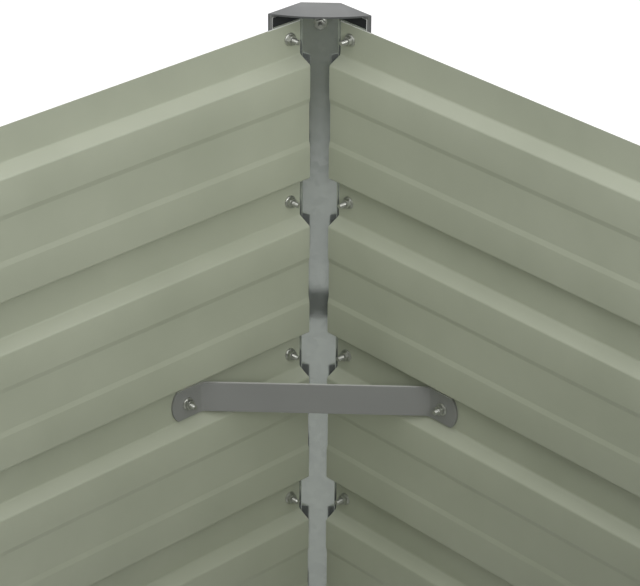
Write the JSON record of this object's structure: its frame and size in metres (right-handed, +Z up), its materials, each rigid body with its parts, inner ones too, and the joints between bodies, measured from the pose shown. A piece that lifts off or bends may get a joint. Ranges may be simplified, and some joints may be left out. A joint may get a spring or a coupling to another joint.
{
  "type": "raised garden bed",
  "caption": "Deep open-bottom raised garden bed of ribbed steel walls, bolted into chamfered galvanised corner posts with grey caps and a flat brace across each corner.",
  "frame": {"origin": "middle of the bed's footprint, on the ground", "axes": "+X along the long walls, +Z up"},
  "size_m": [1.201, 1.001, 0.815],
  "materials": {
    "wall_paint": "satin coil paint, sage grey-green inside and slate grey outside",
    "post_galvanised": "bare galvanised inside with soft spangle, slate grey paint outside",
    "trim_paint": "smooth semi-gloss grey powder coat",
    "fastener_zinc": "bright zinc plating"
  },
  "bodies": {
    "root": {"wall_back": "wall_paint", "wall_left": "wall_paint", "wall_front": "wall_paint", "wall_right": "wall_paint", "post_back_right": "post_galvanised", "cap_back_right": "trim_paint", "brace_back_right": "trim_paint", "wall_bolts_back_right": "fastener_zinc", "wall_nuts_back_right": "fastener_zinc", "brace_bolts_back_right": "fastener_zinc", "brace_nuts_back_right": "fastener_zinc", "cap_bolt_back_right": "fastener_zinc", "cap_nut_back_right": "fastener_zinc", "post_back_left": "post_galvanised", "cap_back_left": "trim_paint", "brace_back_left": "trim_paint", "wall_bolts_back_left": "fastener_zinc", "wall_nuts_back_left": "fastener_zinc", "brace_bolts_back_left": "fastener_zinc", "brace_nuts_back_left": "fastener_zinc", "cap_bolt_back_left": "fastener_zinc", "cap_nut_back_left": "fastener_zinc", "post_front_left": "post_galvanised", "cap_front_left": "trim_paint", "brace_front_left": "trim_paint", "wall_bolts_front_left": "fastener_zinc", "wall_nuts_front_left": "fastener_zinc", "brace_bolts_front_left": "fastener_zinc", "brace_nuts_front_left": "fastener_zinc", "cap_bolt_front_left": "fastener_zinc", "cap_nut_front_left": "fastener_zinc", "post_front_right": "post_galvanised", "cap_front_right": "trim_paint", "brace_front_right": "trim_paint", "wall_bolts_front_right": "fastener_zinc", "wall_nuts_front_right": "fastener_zinc", "brace_bolts_front_right": "fastener_zinc", "brace_nuts_front_right": "fastener_zinc", "cap_bolt_front_right": "fastener_zinc", "cap_nut_front_right": "fastener_zinc"}
  },
  "joints": []
}
